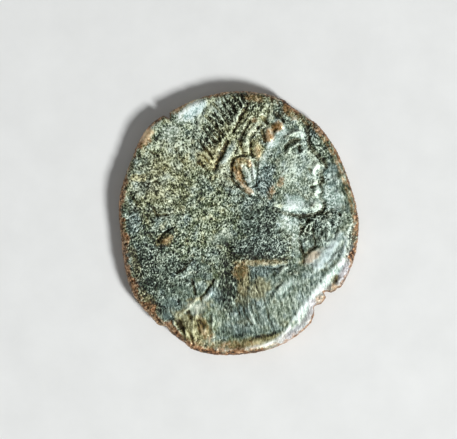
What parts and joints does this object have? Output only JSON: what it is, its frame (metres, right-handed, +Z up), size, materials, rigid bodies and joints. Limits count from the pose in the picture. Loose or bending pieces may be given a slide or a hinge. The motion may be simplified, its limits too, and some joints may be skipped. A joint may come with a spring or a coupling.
{
  "type": "roman bronze coin",
  "caption": "A small worn struck bronze coin on an uneven, chipped flan: a diademed, draped bust on one face and a plain wreath on the other.",
  "frame": {"origin": "middle of the coin's outline, on the plane that it lies on", "axes": "+Z up out of the portrait face, +Y towards the top of the portrait, +X the way the portrait looks"},
  "size_m": [0.0155, 0.017, 0.0016],
  "materials": {
    "patinated_bronze": "worn grey-green patina with dark pits and bare coppery bronze on the edge and the high points"
  },
  "bodies": {
    "root": {"coin": "patinated_bronze"}
  },
  "joints": []
}
